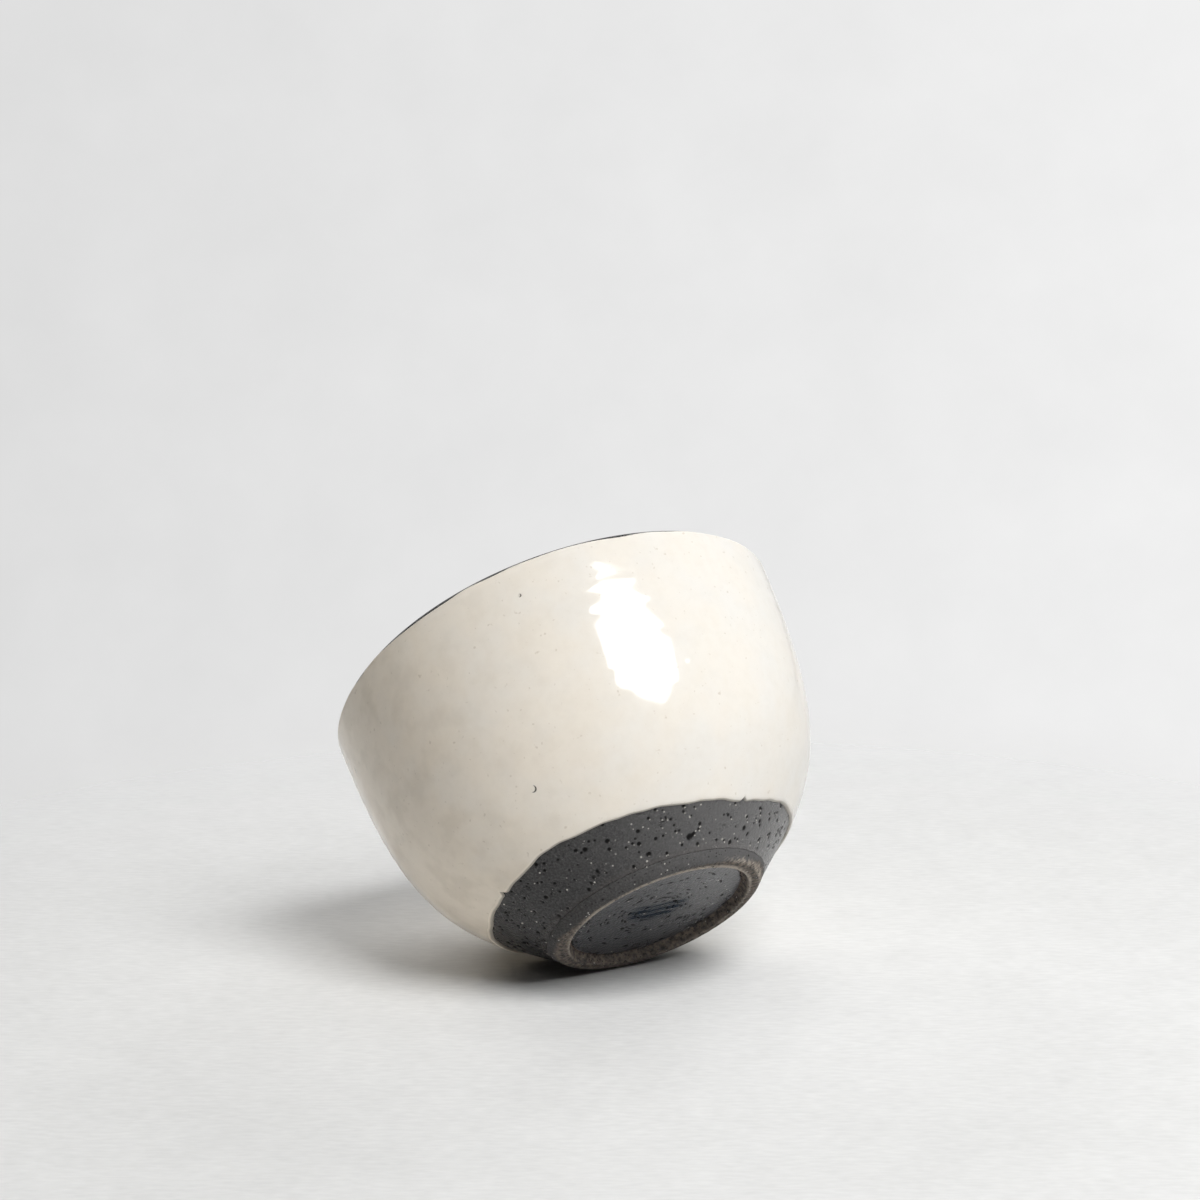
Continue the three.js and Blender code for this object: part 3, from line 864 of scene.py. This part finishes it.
def dark_slip_material(name, dark, light, marks):
    """Two greys mixed by clouds about 4 mm wide, with pores, pale grain and painted glints coloured by the
    marks of the mesh. Where the slip is marked thin it has more sheen and is painted lighter, which is
    painted light. The bump is a dry grain of 0.6 mm, drawn coarser than real so that it shows."""
    material, tree = material_tree(name)
    where = add(tree, "TexCoord").outputs["Object"]
    clouds = add(tree, "TexNoise", {"Vector": where, "Scale": 1 / (4 * MM), "Detail": 5.0})
    grey, _ = tinted(tree, linear(dark), light, clouds, 0.3, 0.7)
    grey = speckled(tree, where, grey, SLIP_CELL)
    thinned = add(tree, "Attribute", attribute_name="thinned").outputs["Fac"]
    sheen = add(tree, "MapRange", {"Value": thinned, "To Min": 0.35, "To Max": 0.9})
    for mark, low, high, most, shade, dull in [*marks, *SLIP_MARKS]:
        value = add(tree, "Attribute", attribute_name=mark).outputs["Fac"]
        grey, cover = tinted(tree, grey, shade, value, low, high, most)
        if dull:
            sheen = add(tree, "Mix", {0: cover, 2: sheen, 3: 0.0})
    dry = add(tree, "TexNoise", {"Vector": where, "Scale": 1 / (0.6 * MM), "Detail": 3.0})
    bump = add(tree, "Bump", {"Height": dry, "Strength": 0.9, "Distance": 0.16 * MM})
    satin = add(tree, "MapRange", {"Value": clouds, "To Min": 0.2, "To Max": 0.36})
    shader = add(tree, "BsdfPrincipled", {
        "Base Color": grey, "Roughness": satin, "IOR": 1.5, "Specular IOR Level": sheen, "Normal": bump})
    add(tree, "OutputMaterial", {"Surface": shader})
    return material


band_slip = dark_slip_material("charcoal_slip_fired_satin", "#161515", "#252424", BAND_MARKS)
well_slip = dark_slip_material("charcoal_slip_turned", "#2C2D30", "#393A3D", WELL_MARKS)
dark_slip.data.materials.append(band_slip)
well_floor.data.materials.append(well_slip)
print("dark slip on", dark_slip.name, "and", well_floor.name)

# %% [markdown]
# ### Bare stoneware
# The wiped foot shows the clay itself, fired brown by its iron: dull and gritty, with pores painted dark
# as shade, and pale on the edge, partly from wear and partly as a painted highlight. The clay body under
# the coats is the same clay. It is a CAD solid that keeps its shape and only gets this finish.

# %% Material: bare stoneware
RING_CELL = 0.65
# A mark's name, where its shade begins and is full, how much of it, and the shade
# The thin mark lightens the slip on the ring's lit side: painted light
SLIP_ON_RING = [("slipped", 0.0, 1.0, 0.95, "#2C2B2B"), ("thinned", 0.0, 1.0, 0.8, "#575656")]
# Pale edges are partly wear and partly painted highlight; pores are painted dark, as shade
PALE_EDGES_AND_DARK_PORES = [("worn", 0.15, 0.7, 0.75, "#B3A99C"), ("pore", 0.35, 0.7, 0.9, "#14100E")]


def stoneware_material(name, dark, light):
    """Two browns mixed by grit of 0.9 mm, grey where the mesh is marked as slipped and lighter where that
    slip is marked thin, which is painted light, then speckled, pale where it is marked for wear and
    highlight, and painted dark as shade and without sheen in pores. The grit is the bump too."""
    material, tree = material_tree(name)
    where = add(tree, "TexCoord").outputs["Object"]
    grit = add(tree, "TexNoise", {
        "Vector": where, "Scale": 1 / (0.9 * MM), "Detail": 6.0, "Roughness": 0.7})
    brown, _ = tinted(tree, linear(dark), light, grit, 0.4, 0.62)
    for marks in (SLIP_ON_RING, PALE_EDGES_AND_DARK_PORES):
        for mark, low, high, most, shade in marks:
            value = add(tree, "Attribute", attribute_name=mark).outputs["Fac"]
            brown, cover = tinted(tree, brown, shade, value, low, high, most)
        if marks is SLIP_ON_RING:
            brown = speckled(tree, where, brown, RING_CELL)
    sheen = add(tree, "MapRange", {"Value": cover, "To Min": 0.5, "To Max": 0.0})
    bump = add(tree, "Bump", {"Height": grit, "Strength": 1.0, "Distance": 0.2 * MM})
    dull = add(tree, "MapRange", {"Value": grit, "To Min": 0.72, "To Max": 0.9})
    shader = add(tree, "BsdfPrincipled", {
        "Base Color": brown, "Roughness": dull, "IOR": 1.5, "Specular IOR Level": sheen, "Normal": bump})
    add(tree, "OutputMaterial", {"Surface": shader})
    return material


bare_foot.data.materials.append(stoneware_material("bare_stoneware_turned", "#26221F", "#74685C"))
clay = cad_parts["clay_body"]
clay.data.materials.clear()
clay.data.materials.append(stoneware_material("bare_stoneware_thrown", "#5F5248", "#75665A"))
print("bare stoneware on", bare_foot.name, "and", clay.name)

# %% [markdown]
# ## The studio
# In the photograph the cup lies tipped over, on the edge of its foot and the side of its belly, and the
# camera sees it from below. Here the cup stands, so the studio is tipped instead: its floor leans against
# the foot and the belly, and the camera and lamps are placed from that floor. The camera's place, aim and
# lens were found by fitting the cup's outline to the photograph.

# %% Directions in the studio
FLOOR_TILT, FLOOR_AZIMUTH = np.radians(43.17), np.radians(123.29)
CAMERA = MM * np.array([0.0, 523.1, -190.0])
CAMERA_AIM = MM * np.array([-12.8, 18.0, 56.9])

lean_way = np.array([np.cos(FLOOR_AZIMUTH), np.sin(FLOOR_AZIMUTH), 0])
up = np.sin(FLOOR_TILT) * lean_way + np.cos(FLOOR_TILT) * np.array([0, 0, 1.0])
sight = (CAMERA_AIM - CAMERA) / np.linalg.norm(CAMERA_AIM - CAMERA)
right = np.cross(sight, up) / np.linalg.norm(np.cross(sight, up))
near = np.cross(right, up)


def towards(azimuth, elevation):
    """Unit vector in the studio: azimuth in degrees from the camera's side towards the right, and
    elevation above the tipped floor."""
    a, e = np.radians(azimuth), np.radians(elevation)
    return np.cos(e) * (np.sin(a) * right + np.cos(a) * near) + np.sin(e) * up


def facing(direction, upright):
    """Rotation whose local Z is the direction and whose local Y is nearest to upright."""
    z = direction / np.linalg.norm(direction)
    x = np.cross(upright, z) / np.linalg.norm(np.cross(upright, z))
    return Matrix(np.stack([x, np.cross(z, x), z], -1).tolist())


print("studio up, right, near:", up.round(3), right.round(3), near.round(3))

# %% Camera
LENS = 88.85  # millimetres, on Blender's usual 36 mm sensor

camera_data = bpy.data.cameras.new("camera")
camera_data.lens = LENS
camera_data.clip_start = 0.01
camera = bpy.data.objects.new("camera", camera_data)
camera.matrix_world = Matrix.Translation(CAMERA.tolist()) @ facing(-sight, up).to_4x4()
bpy.context.scene.collection.objects.link(camera)
bpy.context.scene.camera = camera
slope = np.degrees(np.arcsin(-sight @ up))
print(f"camera {np.linalg.norm(CAMERA):.3f} m from the foot, looking down {slope:.1f} degrees")

# %% [markdown]
# The photograph's floor is pale, cloudy and a little fibrous, and a pool of light is painted on it in front
# of the cup. It fades out before its edge, so that it melts into the pale background. A second, level floor
# carries the standing cup for views from other sides. Each is see-through from below, because the other
# view's camera stands there.

# %% Floor paper
# The paper's tone inside the painted pool of light, and its own grey outside it
PAPER_IN_PAINTED_LIGHT, PAPER_GREY = "#E3E3E2", "#CFCFCE"
PAINTED_LIGHT_AT = MM * (30 * near - 8 * right)  # the middle of the painted pool of light, from the middle of the floor
PAINTED_LIGHT_REACH = 12 * MM, 85 * MM  # the painted pool of light ends between these radii
FIBRE_STRETCH = 0.3  # a fibre's width over its length


def paper(name, centre, full, fade):
    """A matte white, palest in a painted pool of light, mixed with a transparent shader on its back, and
    for the camera also from one radius to the next. Light still bounces off all of it. Clouds of 12 mm and
    fibres of
    1 mm shade it."""
    material, tree = material_tree(name + "_matte_paper")
    where = add(tree, "TexCoord").outputs["Object"]
    across, deep = (
        add(tree, "VectorMath", {0: where, 1: axis.tolist()}, operation="DOT_PRODUCT").outputs["Value"]
        for axis in (FIBRE_STRETCH * right, near))
    thread = add(tree, "CombineXYZ", {0: across, 1: deep})
    fibre = add(tree, "TexNoise", {"Vector": thread, "Scale": 1 / (1 * MM), "Detail": 3.0})
    clouds = add(tree, "TexNoise", {
        "Vector": where, "Scale": 1 / (12 * MM), "Detail": 6.0, "Roughness": 0.6})
    cloudy = add(tree, "MapRange", {"Value": clouds, "To Min": 0.94, "To Max": 1.06})
    grainy = add(tree, "MapRange", {"Value": fibre, "To Min": 0.9, "To Max": 1.1})
    shade = add(tree, "Math", {0: cloudy, 1: grainy}, operation="MULTIPLY")
    fades = []
    for middle, inner, outer in ((centre + PAINTED_LIGHT_AT, *PAINTED_LIGHT_REACH), (centre, full, fade)):
        far = add(tree, "VectorMath", {0: where, 1: middle.tolist()}, operation="DISTANCE")
        fades.append(add(
            tree, "MapRange", {"Value": far.outputs["Value"], "From Min": inner, "From Max": outer},
            interpolation_type="SMOOTHSTEP"))
    grey, gone = fades
    # Palest inside the painted pool of light
    tone, _ = tinted(tree, linear(PAPER_IN_PAINTED_LIGHT), PAPER_GREY, grey)
    tone = add(tree, "VectorMath", {0: tone, 3: shade}, operation="SCALE")
    weave = add(tree, "Bump", {"Height": fibre, "Strength": 0.5, "Distance": 0.15 * MM})
    matte = add(tree, "BsdfDiffuse", {"Color": tone, "Normal": weave})
    camera_ray = add(tree, "LightPath").outputs["Is Camera Ray"]
    faded = add(tree, "Math", {0: gone, 1: camera_ray}, operation="MULTIPLY")
    back = add(tree, "NewGeometry").outputs["Backfacing"]
    clear = add(tree, "Math", {0: faded, 1: back}, operation="MAXIMUM")
    mixed = add(tree, "MixShader", {0: clear, 1: matte, 2: add(tree, "BsdfTransparent")})
    add(tree, "OutputMaterial", {"Surface": mixed})
    return material


print("paper pale to", PAINTED_LIGHT_REACH[0] / MM, "mm and grey from", PAINTED_LIGHT_REACH[1] / MM, "mm")

# %% [markdown]
# The tipped floor has to touch the cup, so its depth is measured from the pieces. Neither floor blocks
# light, and the level one is seen by the camera alone, so that each view has the same light on the cup.

# %% Floors
def staged(name, points, material):
    """A flat piece of the studio with one face through the points."""
    mesh = bpy.data.meshes.new(name)
    mesh.from_pydata(points.tolist(), [], [list(range(len(points)))])
    mesh.materials.append(material)
    thing = bpy.data.objects.new(name, mesh)
    bpy.context.scene.collection.objects.link(thing)
    return thing


def paper_floor(name, centre, normal, full, fade, reach):
    """A square of paper about a centre. It reaches so far each way, and is full and faded at two radii."""
    turn = np.array(facing(normal, near))
    corners = reach * np.array([[-1, -1, 0], [1, -1, 0], [1, 1, 0], [-1, 1, 0]])
    floor = staged(name, corners @ turn.T + centre, paper(name, centre, full, fade))
    floor.visible_shadow = False
    return floor


def points_of(piece):
    """All points of a mesh as an array."""
    values = np.zeros(3 * len(piece.data.vertices), np.float32)
    piece.data.vertices.foreach_get("co", values)
    return values.reshape(-1, 3)


depth = min((points_of(piece) @ up).min() for piece in (cream_glaze, dark_slip, bare_foot))
paper_floor("tipped_floor", depth * up, up, full=0.12, fade=0.26, reach=1.0)
level = np.array([0, 0, 1.0])
level_floor = paper_floor("level_floor", np.zeros(3), level, full=0.16, fade=0.5, reach=0.5)
level_floor.visible_diffuse = level_floor.visible_glossy = level_floor.visible_transmission = False
print(f"tipped floor {1000 * depth:.2f} mm from the origin")

# %% [markdown]
# One big eight-sided softbox up on the right does most of the work, and its mirror image is the long white
# highlight on the glaze. An area lamp has no eight-sided shape, so the softbox is a glowing panel.

# %% Softbox
SOFTBOX_AWAY = 0.75
SOFTBOX_WIDTH, SOFTBOX_HEIGHT = 0.40, 0.48
SOFTBOX_ROLL = np.radians(-30)
SOFTBOX_GLOW = 12.6
SOFTBOX_AZIMUTH, SOFTBOX_ELEVATION = 36.5, 52

out = towards(SOFTBOX_AZIMUTH, SOFTBOX_ELEVATION)
corner = np.radians(np.arange(8) * 45 + 22.5)
x = SOFTBOX_WIDTH / 2 * np.cos(corner) / np.cos(corner[0])
y = SOFTBOX_HEIGHT / 2 * np.sin(corner) / np.cos(corner[0])
roll_x, roll_y = np.cos(SOFTBOX_ROLL), np.sin(SOFTBOX_ROLL)
octagon = np.stack([x * roll_x - y * roll_y, x * roll_y + y * roll_x, 0 * corner], -1)
octagon = octagon @ np.array(facing(-out, up)).T + SOFTBOX_AWAY * out
glow, tree = material_tree("softbox_glow")
front = add(tree, "Emission", {"Strength": SOFTBOX_GLOW})
back = add(tree, "NewGeometry").outputs["Backfacing"]
mixed = add(tree, "MixShader", {0: back, 1: front, 2: add(tree, "BsdfTransparent")})
add(tree, "OutputMaterial", {"Surface": mixed})
softbox = staged("softbox", octagon, glow)
softbox.visible_camera = False
print("softbox at", (SOFTBOX_AWAY * out).round(2))

# %% [markdown]
# A wide lamp behind lights the rim and the side that the photograph doesn't show. Four weak cards fill the
# shadows as white boards would. Three of them stand below the tipped floor and shine through it, so they
# light the cup and not the floor. None of these lamps shows in the glaze.

# %% Lamp and cards
LAMP_AWAY = 0.9
# Name, azimuth and elevation in degrees, width and height in metres, watts
LAMPS = [
    ("back_lamp", 184, 37, 1.3, 0.4, 8.2),
    ("left_card", 245, -25, 0.8, 0.8, 0.4),
    ("right_card", 98, -4, 0.5, 0.5, 0.7),
    ("front_card", 325, 50, 0.8, 0.5, 0.5),
    ("far_card", 195, -22, 0.8, 0.8, 1.8)]

for name, azimuth, elevation, width, height, watts in LAMPS:
    out = towards(azimuth, elevation)
    data = bpy.data.lights.new(name, "AREA")
    data.shape = "RECTANGLE"
    data.size, data.size_y = width, height
    data.energy = watts
    lamp = bpy.data.objects.new(name, data)
    lamp.matrix_world = Matrix.Translation((LAMP_AWAY * out).tolist()) @ facing(out, up).to_4x4()
    lamp.visible_camera = lamp.visible_glossy = False
    bpy.context.scene.collection.objects.link(lamp)
print(len(LAMPS), "lamps placed")

# %% [markdown]
# The room is pale. The camera sees a grey sweep with faint clouds that gets brighter from left to right,
# and mirror-like surfaces see a wall that is brighter behind than in front. The room itself lights the cup
# very little, because the lamps do that, and then a colour renders about as it is written.

# %% World
SWEEP_LEFT, SWEEP_RIGHT = 0.73, 0.87  # what the camera sees at the left and right of the picture
SWEEP_WIDTH = 0.2  # sine of the half angle between them
WALL_AZIMUTH = 143  # degrees, the middle of the bright wall
MIRROR_DARK, MIRROR_BRIGHT = 0.3, 0.8  # what a glossy surface sees in front and behind
AMBIENT_DARK, AMBIENT_BRIGHT = 0.0, 0.02  # what lights the cup from there

world = bpy.data.worlds.new("studio")
bpy.context.scene.world = world
world.use_nodes = True
tree = world.node_tree
tree.nodes.clear()
way = add(tree, "TexCoord").outputs["Generated"]
side, wall = (
    add(tree, "VectorMath", {0: way, 1: axis.tolist()}, operation="DOT_PRODUCT").outputs["Value"]
    for axis in (right, towards(WALL_AZIMUTH, 0)))
sweep, mirror, ambient = (
    add(tree, "MapRange", {
        "Value": value, "From Min": -half, "From Max": half, "To Min": dark, "To Max": bright})
    for value, half, dark, bright in (
        (side, SWEEP_WIDTH, SWEEP_LEFT, SWEEP_RIGHT),
        (wall, 1.0, MIRROR_DARK, MIRROR_BRIGHT),
        (wall, 1.0, AMBIENT_DARK, AMBIENT_BRIGHT)))
clouds = add(tree, "TexNoise", {"Vector": way, "Scale": 25.0, "Detail": 6.0, "Roughness": 0.6})
cloudy = add(tree, "MapRange", {"Value": clouds, "To Min": 0.95, "To Max": 1.05})
sweep = add(tree, "Math", {0: sweep, 1: cloudy}, operation="MULTIPLY")
rays = add(tree, "LightPath").outputs
shiny = add(tree, "Math", {0: rays["Is Glossy Ray"], 1: rays["Is Transmission Ray"]}, operation="MAXIMUM")
unseen = add(tree, "Mix", {0: shiny, 2: ambient, 3: mirror})
strength = add(tree, "Mix", {0: rays["Is Camera Ray"], 2: unseen, 3: sweep})
light = add(tree, "Background", {"Color": (1, 1, 1, 1), "Strength": strength})
add(tree, "OutputWorld", {"Surface": light})
bpy.context.scene.view_settings.view_transform = "Standard"
print(f"sweep from {SWEEP_LEFT} to {SWEEP_RIGHT}, where 1 is white")
